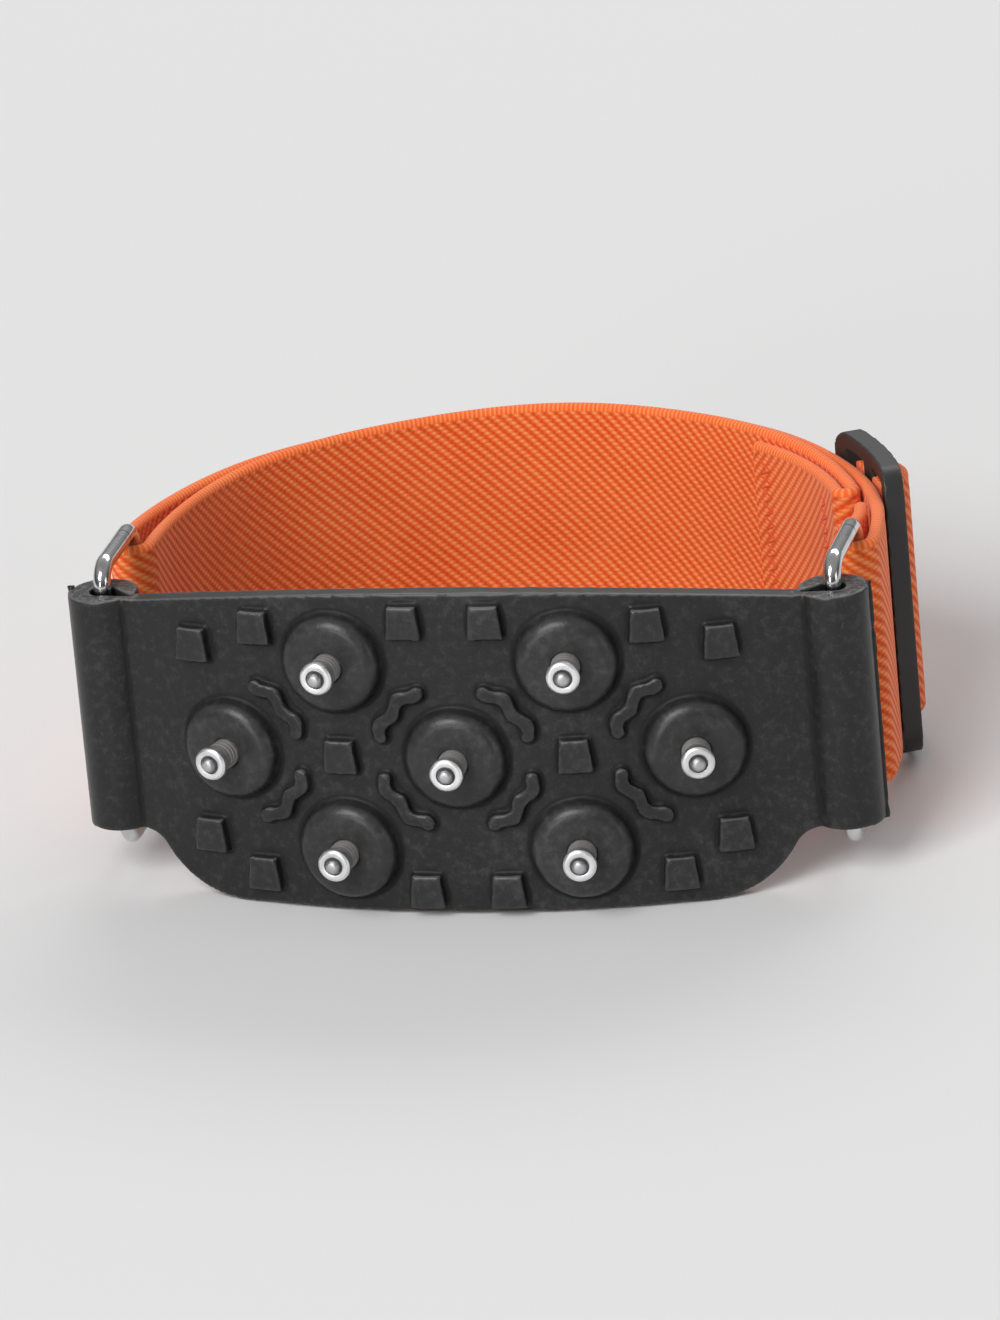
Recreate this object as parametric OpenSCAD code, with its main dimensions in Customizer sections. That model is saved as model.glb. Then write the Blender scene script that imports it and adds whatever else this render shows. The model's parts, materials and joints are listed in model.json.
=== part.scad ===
// Mid-sole ice cleat: a bowed rubber pad with seven tipped studs, a wire ring in the sleeve at each end,
// and a webbing strap that runs over the instep from ring to ring, with a slider to set its length.
// The heel edge is down and the toe edge is up. The studs point to -Y and the strap's hoop is behind, at +Y.
// Modules work upright, with z = 0 at the middle stud, and lean_back() then sets the cleat on its heel edge.

/* [Pad] */
// Radius of the studded face, which is bowed across the sole
pad_bow_r = 135; // [100:1:200]
// Thickness of the rubber sheet
pad_t = 3; // [2.6:0.1:4.5]
// Height of the toe edge over the middle stud
toe_rise = 25.2; // [24.5:0.1:34]
// Depth of the heel edge under the middle stud
heel_drop = 24.2; // [23:0.1:30]
// Half the length of the straight heel edge
heel_half_w = 35; // [26:0.5:38]
// Radius of the heel corners
heel_corner_r = 14; // [10:0.5:16]
// Radius of the hollows between the heel corners and the sleeves
heel_hollow_r = 4; // [2:0.5:6]

/* [Sleeves] */
// Distance of each sleeve's axis from the pad's middle
sleeve_x = 54.5; // [52:0.5:64]
// Depth of the sleeve's axis behind the studded face
sleeve_inset = 2.2; // [1.5:0.1:3]
// Thickness of the rubber round the ring's bar
sleeve_wall = 3.3; // [2.4:0.1:4]
// Play of the ring's bar in the sleeve
sleeve_play = 0.6; // [0.2:0.05:0.8]
// Length of the hollow beside the bar, where the folded sheet closes on itself
sleeve_fold_len = 5.5; // [4:0.5:8]
// Thickness of the flap that is bonded behind the pad
flap_t = 2.4; // [1.5:0.1:3]
// Length of the flap from the sleeve's axis
flap_len = 16; // [9:0.5:22]
// Step from the sleeve's ends to the flap's edges
flap_step = 1; // [0.5:0.1:3]

/* [Bosses and tread] */
// Diameter of a boss at the pad
boss_base_d = 15.6; // [15.2:0.1:16.4]
// Diameter of a boss at its shoulder
boss_top_d = 15; // [13:0.1:15.2]
// Height of a boss over the studded face
boss_h = 2.75; // [2.4:0.05:4]
// Radius of a boss's rounded shoulder
boss_round_r = 2.2; // [0.6:0.1:2.4]
// Gap between a boss and the middle of the wavy rib round it
rib_gap = 3.8; // [2.8:0.1:4.2]
// Width of a rib
rib_w = 2.1; // [1.2:0.1:2.4]
// Height of a rib over the studded face
rib_h = 1.4; // [0.8:0.1:2.4]
// Sway of a rib to each side of its circle
rib_sway = 0.45; // [0:0.05:0.6]
// Waves along a rib
rib_waves = 2.3; // [1:0.1:3]
// Width of a lug at its toe side
lug_toe_w = 4.2; // [3:0.1:5]
// Width of a lug at its heel side
lug_heel_w = 5.3; // [3.6:0.1:6]
// Length of a lug from toe to heel
lug_len = 5; // [3.5:0.1:5.5]
// Height of a lug over the studded face
lug_h = 1.7; // [0.8:0.1:3]

/* [Studs] */
// Distance between studs of one row, along the bow
stud_pitch = 34.8; // [32:0.1:36]
// Distance between rows
stud_row = 14.5; // [14.2:0.1:15.2]
// Diameter of a stud's shaft
stud_shaft_d = 4.3; // [3.4:0.1:4.8]
// Height of a stud over its boss
stud_stand = 4.9; // [4:0.1:9]
// Diameter of the collar at a stud's end
collar_d = 4.9; // [4.5:0.1:6]
// Height of the collar
collar_h = 1.4; // [0.8:0.1:2]
// Chamfer of the collar
collar_chamfer = 0.3; // [0.1:0.05:0.5]
// Diameter of the flange inside the rubber
flange_d = 9; // [6:0.1:11]
// Thickness of the flange
flange_t = 1; // [0.6:0.1:1.4]
// Rubber left behind the flange
flange_cover = 0.8; // [0.5:0.1:1.2]
// Distance between the rings turned in a shaft
groove_pitch = 0.8; // [0.5:0.05:1.5]
// Depth of the rings turned in a shaft
groove_depth = 0.1; // [0.05:0.05:0.4]
// Gap between a stud and its pocket
stud_fit = 0.03; // [0.01:0.01:0.1]

/* [Carbide tips] */
// Diameter of a tip
tip_d = 2.1; // [1.5:0.1:2.6]
// Length of a tip
tip_len = 5.2; // [3:0.1:6]
// Height of a tip over its stud
tip_stand = 0.9; // [0.4:0.1:2]
// Chamfer of a tip
tip_chamfer = 0.3; // [0.1:0.05:0.5]
// Width of the recess round a tip
tip_recess_w = 0.35; // [0.15:0.05:0.5]
// Depth of the recess round a tip
tip_recess_depth = 0.4; // [0.2:0.05:0.8]
// Gap between a tip and its hole
tip_fit = 0.02; // [0.01:0.01:0.05]

/* [Rings] */
// Diameter of the wire
ring_wire_d = 2.6; // [2.2:0.1:3.6]
// Distance from the bar in the sleeve to the bar in the strap
ring_depth = 18; // [14:0.5:26]
// Bend radius at the wire's middle
ring_bend_r = 3; // [2.4:0.1:4]
// Gap between the strap's edge and the ring's side
ring_side_gap = 1; // [0.6:0.1:2]
// Gap between the sleeve's end and the ring's side
sleeve_end_gap = 2; // [1.5:0.1:3]

/* [Strap] */
// Width of the webbing
strap_w = 38; // [32:0.5:42]
// Thickness of the webbing
strap_t = 2; // [1.4:0.1:2.4]
// Height of the strap's middle over the middle stud
strap_mid_z = 3; // [1:0.5:4]
// Gap between layers of webbing
layer_gap = 0.4; // [0.3:0.05:0.8]
// Gap between the webbing and a ring's bar
bar_gap = 0.2; // [0.1:0.05:0.4]
// Length of the sewn end behind the slider
sewn_len = 27; // [15:1:40]
// Degrees of the half turn in which the inner layer closes up to the outer one
closing_angle = 40; // [25:1:60]

/* [Slider] */
// Place of the slider on the strap's half turn, counted from the right ring
slider_angle = 28; // [26:1:40]
// Thickness of the slider
slider_t = 3; // [2.4:0.1:4]
// Width of the slider's two outer bars
slider_edge_w = 4; // [3:0.1:6]
// Width of the slider's ends
slider_end_w = 2.5; // [2:0.1:4]
// Corner radius of the slider
slider_corner_r = 4; // [2:0.1:6]
// Width of the slider's middle bar
slider_bar_w = 4; // [3:0.1:5]
// Thickness of the slider's middle bar
slider_bar_t = 1.8; // [1.2:0.1:2.4]
// Room left in a slot beside the webbing
slot_spare = 2.35; // [1:0.05:4]
// Gap between the webbing's edge and a slot's end
slot_end_gap = 1; // [0.5:0.1:2]
// Gap between the slider and the strap under it
slider_gap = 0.3; // [0.2:0.05:0.6]
// Gap between the middle bar and the webbing over it
turn_gap = 0.15; // [0.1:0.05:0.3]

/* [Hidden] */
$fn = 64;
bow_fn = 240;
eps = 0.01;

// Studs in rows of two, three and two: distance along the bow, and height
studs = [
    [-stud_pitch / 2, stud_row], [stud_pitch / 2, stud_row],
    [-stud_pitch, 0], [0, 0], [stud_pitch, 0],
    [-stud_pitch / 2, -stud_row], [stud_pitch / 2, -stud_row]
];
stud_count = len(studs);
middle_stud = 3;
outer_stud = 4;

// Lugs of the right half, each by its distance along the bow and by the distance of its middle
// from the edge that it follows
toe_lugs = [[6, 4.1], [29.2, 5.8], [39.6, 9.3]];
heel_lugs = [[6, 3.5], [31.2, 5], [39.5, 10.3]];

// Sleeves and rings
ring_half_l = strap_w / 2 + ring_side_gap + ring_wire_d / 2;
sleeve_half_l = strap_w / 2 + ring_side_gap - sleeve_end_gap;
sleeve_top = strap_mid_z + sleeve_half_l;
sleeve_bottom = strap_mid_z - sleeve_half_l;
sleeve_bore_r = ring_wire_d / 2 + sleeve_play;
sleeve_r = sleeve_bore_r + sleeve_wall;
sleeve_y = bow_y(sleeve_x) + sleeve_inset;
sleeve_turn = asin(sleeve_x / pad_bow_r);

// Toe arch, from sleeve to sleeve
toe_half_w = sleeve_x - sleeve_r;
toe_arch_h = toe_rise - sleeve_top;
toe_arch_r = (toe_half_w ^ 2 + toe_arch_h ^ 2) / (2 * toe_arch_h);
toe_half_angle = asin(toe_half_w / toe_arch_r);

// Heel corner and the hollow that runs from it to the sleeve
heel_corner = [heel_half_w, heel_corner_r - heel_drop];
hollow_z = sleeve_bottom - heel_hollow_r;
hollow_reach = heel_corner_r + heel_hollow_r;
hollow_angle = asin((hollow_z - heel_corner.y) / hollow_reach);
heel_hollow = [heel_half_w + hollow_reach * cos(hollow_angle), hollow_z];
right_side = concat(
    arc(heel_corner, heel_corner_r, -90, hollow_angle, 10),
    arc(heel_hollow, heel_hollow_r, 180 + hollow_angle, 90, 8),
    [[sleeve_x, sleeve_bottom], [sleeve_x, sleeve_top]]
);
toe_side = arc([0, toe_rise - toe_arch_r], toe_arch_r, 90 - toe_half_angle, 90 + toe_half_angle, 24);
outline_depth = sleeve_y + sleeve_r;

// Ribs, each with round ends about two angles in its quarter of the circle round a boss
rib_r = boss_base_d / 2 + rib_gap;
rib_span = [12, 69];
rib_steps = 24;

// Studs and tips, by height over the studded face
flange_low = flange_cover - pad_t;
collar_low = boss_h + stud_stand - collar_h;
stud_top = boss_h + stud_stand;
groove_count = floor((stud_stand - collar_h) / groove_pitch - 0.5);
tip_top = stud_top + tip_stand;
tip_low = tip_top - tip_len;
tip_hole_r = tip_d / 2 + tip_fit;

// Slots of the slider, which take two layers of webbing
turn_t = 2 * strap_t;
slot_w = turn_gap + turn_t + slot_spare;
slot_len = strap_w + 2 * slot_end_gap;

// Strap, as layers round the hoop's axis
hoop_r = sleeve_x;
hoop_y = sleeve_y + ring_depth;
bar_turn_r = ring_wire_d / 2 + bar_gap + strap_t / 2;
outer_layer_r = hoop_r + bar_turn_r;
inner_layer_r = outer_layer_r - strap_t - layer_gap;
sewn_layer_r = inner_layer_r - strap_t - layer_gap;
fold_r = (inner_layer_r - sewn_layer_r) / 2;
fold_mid_r = (inner_layer_r + sewn_layer_r) / 2;
fold_angle = slider_angle - arc_angle(slider_bar_w / 2 + slot_w / 2, inner_layer_r);
sewn_end_angle = fold_angle + arc_angle(sewn_len, sewn_layer_r);
ring_tail_angle = fold_angle - arc_angle(3 * strap_t, inner_layer_r);
layer_step = 3;
turn_steps = 10;
strap_route = concat(
    [for (a = steps(sewn_end_angle, fold_angle, layer_step)) polar(sewn_layer_r, a)],
    [for (u = steps(15, 165, 15)) fold_point(u)],
    [for (a = steps(fold_angle, 180, layer_step)) polar(inner_r(a), a)],
    [for (i = [1:turn_steps - 1]) bar_turn(-hoop_r, 180 * i / turn_steps)],
    [for (a = steps(180, 0, layer_step)) polar(outer_layer_r, a)],
    [for (i = [1:turn_steps - 1]) bar_turn(hoop_r, 180 * i / turn_steps)],
    [for (a = steps(0, ring_tail_angle, layer_step)) polar(ring_tail_r(a), a)]
);

// Slider
slider_w = slider_bar_w + 2 * slot_w + 2 * slider_edge_w;
slider_len = slot_len + 2 * slider_end_w;
slider_in_r = outer_layer_r + strap_t / 2 + slider_gap;
slider_out_r = slider_in_r + slider_t;
turn_half_w = slider_bar_w / 2 + turn_gap + turn_t;
turn_top_r = slider_in_r + slider_bar_t + turn_gap + turn_t;

// Lean: the cleat stands on the back of its heel edge and on the slider's lower end
slider_foot = slider_w / 2 - slider_corner_r;
slider_foot_r = sqrt(slider_out_r ^ 2 - slider_foot ^ 2);
slider_foot_y = hoop_y + slider_foot_r * sin(slider_angle) + slider_foot * cos(slider_angle);
slider_foot_z = strap_mid_z - slider_len / 2;
heel_foot_y = pad_bow_r - sqrt((pad_bow_r - pad_t) ^ 2 - heel_half_w ^ 2);
lean = atan((slider_foot_z + heel_drop) / (slider_foot_y - heel_foot_y));
floor_z = -heel_foot_y * sin(lean) - heel_drop * cos(lean);
front_y = -tip_top * cos(lean) - (tip_d / 2 - tip_chamfer) * sin(lean);
back_y = (hoop_y + outer_layer_r + strap_t / 2) * cos(lean) + (strap_mid_z + strap_w / 2) * sin(lean);

// Depth of the studded face at a distance from the pad's middle
function bow_y(x) = pad_bow_r - sqrt(pad_bow_r ^ 2 - x ^ 2);

// Angle of a length along an arc
function arc_angle(length, r) = length * 180 / (PI * r);

function arc(middle, r, from, to, count) =
    [for (i = [0:count]) let (a = from + (to - from) * i / count) middle + r * [cos(a), sin(a)]];

// Evenly spaced values from one end to the other, about one step apart
function steps(from, to, step) =
    let (count = ceil(abs(to - from) / step)) [for (i = [0:count]) from + (to - from) * i / count];

function mirrored(points) = [for (i = [len(points) - 1:-1:0]) [-points[i].x, points[i].y]];

function ease(x) = let (c = min(max(x, 0), 1)) c * c * (3 - 2 * c);

// A point of the strap's route, by its distance and angle from the hoop's axis
function polar(r, a) = [r * cos(a), hoop_y + r * sin(a)];

// The inner layer comes up from the left ring's bar and closes up to the outer layer
function inner_r(a) =
    inner_layer_r + (hoop_r - bar_turn_r - inner_layer_r) * ease(1 + (a - 180) / closing_angle);

function ring_tail_r(a) =
    hoop_r - bar_turn_r + (inner_layer_r - hoop_r + bar_turn_r) * ease(a / ring_tail_angle);

// The turn of the sewn end, from the sewn layer to the inner one
function fold_point(u) =
    polar(fold_mid_r, fold_angle)
    - fold_r * cos(u) * [cos(fold_angle), sin(fold_angle)]
    - fold_r * sin(u) * [-sin(fold_angle), cos(fold_angle)];

// The turn under a ring's bar
function bar_turn(x, u) = [x, hoop_y] + bar_turn_r * [cos(u), -sin(u)];

function side_of(route, i) =
    let (d = route[min(i + 1, len(route) - 1)] - route[max(i - 1, 0)]) [-d.y, d.x] / norm(d);

// Sets the upright cleat on the floor, with the origin under the middle of its box
module lean_back() {
    translate([0, -(front_y + back_y) / 2, -floor_z]) rotate([-lean, 0, 0]) children();
}

module both_sides() {
    children();
    mirror([1, 0, 0]) children();
}

// A place on the studded face: x along the bow, y to the toe and z out of the face
module on_pad(along, up) {
    translate([0, pad_bow_r, up])
        rotate([0, 0, arc_angle(along, pad_bow_r)])
        translate([0, -pad_bow_r, 0])
        rotate([90, 0, 0])
        children();
}

// A bowed layer between two radii about the bow's axis
module bowed(r_out, r_in) {
    tall = toe_rise + heel_drop + 2;
    translate([0, pad_bow_r, -heel_drop - 1]) difference() {
        cylinder(r = r_out, h = tall, $fn = bow_fn);
        translate([0, 0, -1]) cylinder(r = r_in, h = tall + 2, $fn = bow_fn);
    }
}

// The outline, cut through from the front
module outline_cut() {
    translate([0, outline_depth, 0])
        rotate([90, 0, 0])
        linear_extrude(outline_depth + 1)
        polygon(concat(right_side, toe_side, mirrored(right_side)));
}

module rubber_sheet() {
    intersection() {
        bowed(pad_bow_r, pad_bow_r - pad_t);
        outline_cut();
    }
}

// Sleeve and bonded flap of the right end
module rubber_end() {
    intersection() {
        bowed(pad_bow_r - pad_t / 2, pad_bow_r - pad_t - flap_t);
        translate([sleeve_x - flap_len, 0, sleeve_bottom + flap_step])
            cube([flap_len, outline_depth, 2 * (sleeve_half_l - flap_step)]);
    }
    translate([sleeve_x, sleeve_y, sleeve_bottom]) cylinder(r = sleeve_r, h = 2 * sleeve_half_l);
}

// Bore of the right sleeve, with the hollow of the fold beside it
module sleeve_bore() {
    translate([sleeve_x, sleeve_y, sleeve_bottom - 1]) {
        cylinder(r = sleeve_bore_r, h = 2 * sleeve_half_l + 2);
        rotate([0, 0, sleeve_turn])
            linear_extrude(2 * sleeve_half_l + 2)
            polygon([[0, sleeve_bore_r - eps], [-sleeve_fold_len, 0], [0, eps - sleeve_bore_r]]);
    }
}

module boss() {
    shoulder = [boss_top_d / 2 - boss_round_r, boss_h - boss_round_r];
    rotate_extrude() polygon(concat(
        [[0, -pad_t / 2], [boss_base_d / 2, -pad_t / 2], [boss_base_d / 2, 0]],
        arc(shoulder, boss_round_r, 0, 90, 8),
        [[0, boss_h]]
    ));
}

// Wavy rib round a boss, in the quarter that faces the given sides
module rib(side_x, side_y) {
    whole = rib_span[1] - rib_span[0];
    end = arc_angle(rib_w / 2, rib_r);
    turns = [for (i = [0:rib_steps]) rib_span[0] + end + (whole - 2 * end) * i / rib_steps];
    mids = [for (a = turns) rib_r - rib_sway * cos(360 * rib_waves * (a - rib_span[0]) / whole)];
    spots = [for (a = turns) [cos(a), sin(a)]];
    outline = concat(
        arc(mids[0] * spots[0], rib_w / 2, turns[0], turns[0] - 180, 6),
        [for (i = [1:rib_steps - 1]) (mids[i] - rib_w / 2) * spots[i]],
        arc(mids[rib_steps] * spots[rib_steps], rib_w / 2, turns[rib_steps] + 180, turns[rib_steps], 6),
        [for (i = [rib_steps - 1:-1:1]) (mids[i] + rib_w / 2) * spots[i]]
    );
    translate([0, 0, -pad_t / 2])
        linear_extrude(pad_t + rib_h)
        polygon([for (p = outline) [side_x * p.x, side_y * p.y]]);
}

module lug() {
    translate([0, 0, -pad_t / 2]) linear_extrude(pad_t + lug_h) polygon([
        [-lug_heel_w / 2, -lug_len / 2], [lug_heel_w / 2, -lug_len / 2],
        [lug_toe_w / 2, lug_len / 2], [-lug_toe_w / 2, lug_len / 2]
    ]);
}

module ribs() {
    intersection() {
        union() {
            for (side_y = [-1, 1]) both_sides() {
                on_pad(studs[middle_stud].x, studs[middle_stud].y) rib(1, side_y);
                on_pad(studs[outer_stud].x, studs[outer_stud].y) rib(-1, side_y);
            }
        }
        bowed(pad_bow_r + rib_h, pad_bow_r - pad_t / 2);
    }
}

module lugs() {
    intersection() {
        both_sides() {
            for (p = toe_lugs) on_pad(p[0], toe_rise - p[1]) lug();
            for (p = heel_lugs) on_pad(p[0], p[1] - heel_drop) lug();
            on_pad(stud_pitch / 2, 0) lug();
        }
        bowed(pad_bow_r + lug_h, pad_bow_r - pad_t / 2);
    }
}

// Outline of a turned stud, or of its pocket where it is drawn larger by the fit
function stud_profile(more) = concat(
    [[0, flange_low - more], [flange_d / 2 + more, flange_low - more]],
    [[flange_d / 2 + more, flange_low + flange_t + more]],
    [[stud_shaft_d / 2 + more, flange_low + flange_t + more], [stud_shaft_d / 2 + more, boss_h]]
);

// Outline of the shaft's turned rings, from the boss up
function ring_profile() = [for (i = [0:groove_count - 1], part = [1, 2, 3]) [
    stud_shaft_d / 2 - (part == 2 ? groove_depth : 0),
    boss_h + groove_pitch * (i + part / 4 + 0.25)
]];

module stud_body() {
    difference() {
        rotate_extrude() polygon(concat(
            stud_profile(0),
            ring_profile(),
            [[stud_shaft_d / 2, collar_low], [collar_d / 2, collar_low + collar_chamfer]],
            [[collar_d / 2, stud_top - collar_chamfer], [collar_d / 2 - collar_chamfer, stud_top]],
            [[0, stud_top]]
        ));
        translate([0, 0, tip_low]) cylinder(r = tip_hole_r, h = tip_len);
        translate([0, 0, stud_top - tip_recess_depth]) cylinder(r = tip_d / 2 + tip_recess_w, h = tip_len);
    }
}

module stud_pocket() {
    rotate_extrude() polygon(concat(
        stud_profile(stud_fit),
        [[stud_shaft_d / 2 + stud_fit, boss_h + 1], [0, boss_h + 1]]
    ));
}

module cleat_pad() {
    color("#2e302f") lean_back() difference() {
        union() {
            rubber_sheet();
            both_sides() rubber_end();
            for (p = studs) on_pad(p.x, p.y) boss();
            ribs();
            lugs();
        }
        both_sides() sleeve_bore();
        for (p = studs) on_pad(p.x, p.y) stud_pocket();
    }
}

module stud(i) {
    color("#c9cacc") lean_back() on_pad(studs[i].x, studs[i].y) stud_body();
}

module carbide_tip(i) {
    color("#8b8c8e") lean_back() on_pad(studs[i].x, studs[i].y) rotate_extrude() polygon([
        [0, tip_low], [tip_d / 2, tip_low], [tip_d / 2, tip_top - tip_chamfer],
        [tip_d / 2 - tip_chamfer, tip_top], [0, tip_top]
    ]);
}

// A bent wire ring: one bar on the origin along z, the other at y = ring_depth
module wire_ring() {
    bar_l = 2 * (ring_half_l - ring_bend_r);
    side_l = ring_depth - 2 * ring_bend_r;
    for (y = [0, ring_depth])
        translate([0, y, -bar_l / 2]) cylinder(d = ring_wire_d, h = bar_l);
    for (z = [-ring_half_l, ring_half_l])
        translate([0, ring_bend_r, z]) rotate([-90, 0, 0]) cylinder(d = ring_wire_d, h = side_l);
    for (corner = [[1, 1, 0], [-1, 1, 90], [-1, 0, 180], [1, 0, 270]])
        rotate([0, -90, 0])
        translate([corner[0] * bar_l / 2, ring_bend_r + corner[1] * side_l, 0])
        rotate([0, 0, corner[2]])
        rotate_extrude(angle = 90)
        translate([ring_bend_r, 0])
        circle(d = ring_wire_d);
}

module left_ring() {
    color("silver") lean_back() translate([-sleeve_x, sleeve_y, strap_mid_z]) wire_ring();
}

module right_ring() {
    color("silver") lean_back() translate([sleeve_x, sleeve_y, strap_mid_z]) wire_ring();
}

module strap() {
    last = len(strap_route) - 1;
    left = [for (i = [0:last]) strap_route[i] + side_of(strap_route, i) * strap_t / 2];
    right = [for (i = [last:-1:0]) strap_route[i] - side_of(strap_route, i) * strap_t / 2];
    color("#f0682a") lean_back()
        translate([0, 0, strap_mid_z - strap_w / 2]) linear_extrude(strap_w) polygon(concat(left, right));
}

// The slider's own place: x out from the hoop's axis, y along the strap and z across it
module at_slider() {
    translate([0, hoop_y, strap_mid_z]) rotate([0, 0, slider_angle]) children();
}

// A block through the slider, as wide along the strap and across it as given
module slider_cut(along, across, from_r) {
    translate([from_r, -along / 2, -across / 2]) cube([slider_out_r + 1, along, across]);
}

module slider_outline() {
    short_w = slider_w - 2 * slider_corner_r;
    short_len = slider_len - 2 * slider_corner_r;
    square([slider_w, short_len], center = true);
    square([short_w, slider_len], center = true);
    for (x = [-short_w / 2, short_w / 2], y = [-short_len / 2, short_len / 2])
        translate([x, y]) circle(r = slider_corner_r);
}

module slider() {
    color("#232425") lean_back() at_slider() difference() {
        intersection() {
            translate([0, 0, -slider_len / 2 - 1]) difference() {
                cylinder(r = slider_out_r, h = slider_len + 2, $fn = bow_fn);
                translate([0, 0, -1]) cylinder(r = slider_in_r, h = slider_len + 4, $fn = bow_fn);
            }
            rotate([90, 0, 90]) linear_extrude(slider_out_r + 1) slider_outline();
        }
        for (side = [-1, 1])
            translate([0, side * (slider_bar_w + slot_w) / 2, 0]) slider_cut(slot_w, slot_len, 0);
        slider_cut(slider_bar_w + 2 * eps, slot_len, slider_in_r + slider_bar_t);
    }
}

module slider_turn() {
    crown_r = turn_top_r - turn_half_w;
    bar_half_w = slider_bar_w / 2 + turn_gap;
    color("#f0682a") lean_back() at_slider()
        translate([0, 0, -strap_w / 2])
        linear_extrude(strap_w)
        difference() {
            intersection() {
                union() {
                    translate([crown_r, 0]) circle(r = turn_half_w);
                    translate([0, -turn_half_w]) square([crown_r, 2 * turn_half_w]);
                }
                translate([slider_in_r, -turn_half_w]) square([turn_top_r, 2 * turn_half_w]);
            }
            translate([0, -bar_half_w]) square([slider_in_r + slider_bar_t + turn_gap, 2 * bar_half_w]);
        }
}

cleat_pad();
for (i = [1:stud_count]) {
    stud(i - 1);
    carbide_tip(i - 1);
}
left_ring();
right_ring();
strap();
slider();
slider_turn();
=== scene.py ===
# Looks of a mid-sole ice cleat: rubber pad with studs, wire rings, orange webbing strap and slider
import json
import math

import bmesh
import bpy
from mathutils import Matrix, Vector, noise


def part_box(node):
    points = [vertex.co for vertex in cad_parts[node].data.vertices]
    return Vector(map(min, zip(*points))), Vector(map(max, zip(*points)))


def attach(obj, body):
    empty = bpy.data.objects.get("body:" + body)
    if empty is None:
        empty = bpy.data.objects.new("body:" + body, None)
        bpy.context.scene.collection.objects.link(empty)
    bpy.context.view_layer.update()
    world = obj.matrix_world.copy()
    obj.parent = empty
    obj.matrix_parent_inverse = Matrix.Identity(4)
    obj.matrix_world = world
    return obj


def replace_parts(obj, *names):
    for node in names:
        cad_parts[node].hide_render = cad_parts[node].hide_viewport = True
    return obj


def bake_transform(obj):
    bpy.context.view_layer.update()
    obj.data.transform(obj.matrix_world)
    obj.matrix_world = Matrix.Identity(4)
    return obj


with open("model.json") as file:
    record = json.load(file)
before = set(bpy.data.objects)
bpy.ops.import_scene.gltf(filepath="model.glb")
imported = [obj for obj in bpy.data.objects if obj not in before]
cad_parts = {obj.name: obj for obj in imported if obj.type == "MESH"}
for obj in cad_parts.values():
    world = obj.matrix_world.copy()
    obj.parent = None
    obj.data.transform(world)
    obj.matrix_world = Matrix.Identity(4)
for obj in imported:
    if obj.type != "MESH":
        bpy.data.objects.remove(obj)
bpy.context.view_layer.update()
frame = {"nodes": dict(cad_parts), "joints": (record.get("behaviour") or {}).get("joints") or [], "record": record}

mm = 0.001
weld = 0.001 * mm
scene = bpy.context.scene
nodes = frame["nodes"]
joints = {joint["name"]: joint for joint in frame["joints"]}
mounts = {mount["name"]: mount for mount in frame["record"]["mounts"]}

# the cleat leans back a little: these are its own directions
across = Vector((1, 0, 0))
toe = Vector(joints["slider_travel"]["axis"]).normalized()
behind = toe.cross(across)
upright = Matrix((across, behind, toe)).transposed().to_4x4()
hoopPlace = Matrix.Translation(joints["slider_travel"]["pos_m"]) @ upright
lean = math.degrees(math.atan2(toe.y, toe.z))
print("frame loaded, leaning back", round(lean, 2), "degrees")


class Paint:
    # a socket of a node tree, so that shader maths reads as plain sums
    def __init__(self, tree, socket=None):
        self.tree = tree
        self.socket = socket

    def node(self, kind, settings=None, sockets=None, output=0):
        made = self.tree.nodes.new("ShaderNode" + kind)
        for name, value in (settings or {}).items():
            setattr(made, name, value)
        for name, value in (sockets or {}).items():
            if isinstance(value, Paint):
                self.tree.links.new(value.socket, made.inputs[name])
            else:
                made.inputs[name].default_value = value
        return Paint(self.tree, made.outputs[output])

    def math(self, operation, first, second=0.0):
        return self.node("Math", {"operation": operation}, {0: first, 1: second})

    def __add__(self, other):
        return self.math("ADD", self, other)

    def __radd__(self, other):
        return self.math("ADD", other, self)

    def __sub__(self, other):
        return self.math("SUBTRACT", self, other)

    def __rsub__(self, other):
        return self.math("SUBTRACT", other, self)

    def __mul__(self, other):
        return self.math("MULTIPLY", self, other)

    def __rmul__(self, other):
        return self.math("MULTIPLY", other, self)

    def __truediv__(self, other):
        return self.math("DIVIDE", self, other)

    def __abs__(self):
        return self.math("ABSOLUTE", self)

    def floor(self):
        return self.math("FLOOR", self)

    def wave(self):
        # 0 at whole numbers and 1 half way between
        return 0.5 - 0.5 * self.math("COSINE", self * math.tau)

    def rise(self, low, high):
        # 0 up to low, 1 from high, smooth between
        return self.node("MapRange", {"interpolation_type": "SMOOTHSTEP"},
                         {"Value": self, "From Min": low, "From Max": high})

    def mix(self, mask, first, second):
        return self.node("Mix", {"data_type": "RGBA"}, {0: mask, 6: first, 7: second}, 2)

    def attribute(self, name):
        return self.node("Attribute", {"attribute_name": name}, output="Fac")

    def measure(self, place, direction):
        return self.node("VectorMath", {"operation": "DOT_PRODUCT"}, {0: place, 1: direction}, "Value")

    def noise(self, place, scale, detail=2.0):
        return self.node("TexNoise", None, {"Vector": place, "Scale": scale, "Detail": detail}, "Fac")

    def bump(self, height, depth, strength=1.0):
        return self.node("Bump", None, {"Height": height, "Distance": depth, "Strength": strength})


def newMaterial(name, constants):
    material = bpy.data.materials.new(name)
    material.use_nodes = True
    shader = material.node_tree.nodes["Principled BSDF"]
    for socket, value in constants.items():
        shader.inputs[socket].default_value = value
    return material, Paint(material.node_tree), shader


def feed(paint, shader, links):
    for name, source in links.items():
        paint.tree.links.new(source.socket, shader.inputs[name])


def newPiece(name, bm, material):
    mesh = bpy.data.meshes.new(name)
    bm.to_mesh(mesh)
    bm.free()
    mesh.polygons.foreach_set("use_smooth", [True] * len(mesh.polygons))
    mesh.materials.append(material)
    piece = bpy.data.objects.new(name, mesh)
    scene.collection.objects.link(piece)
    return piece


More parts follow.
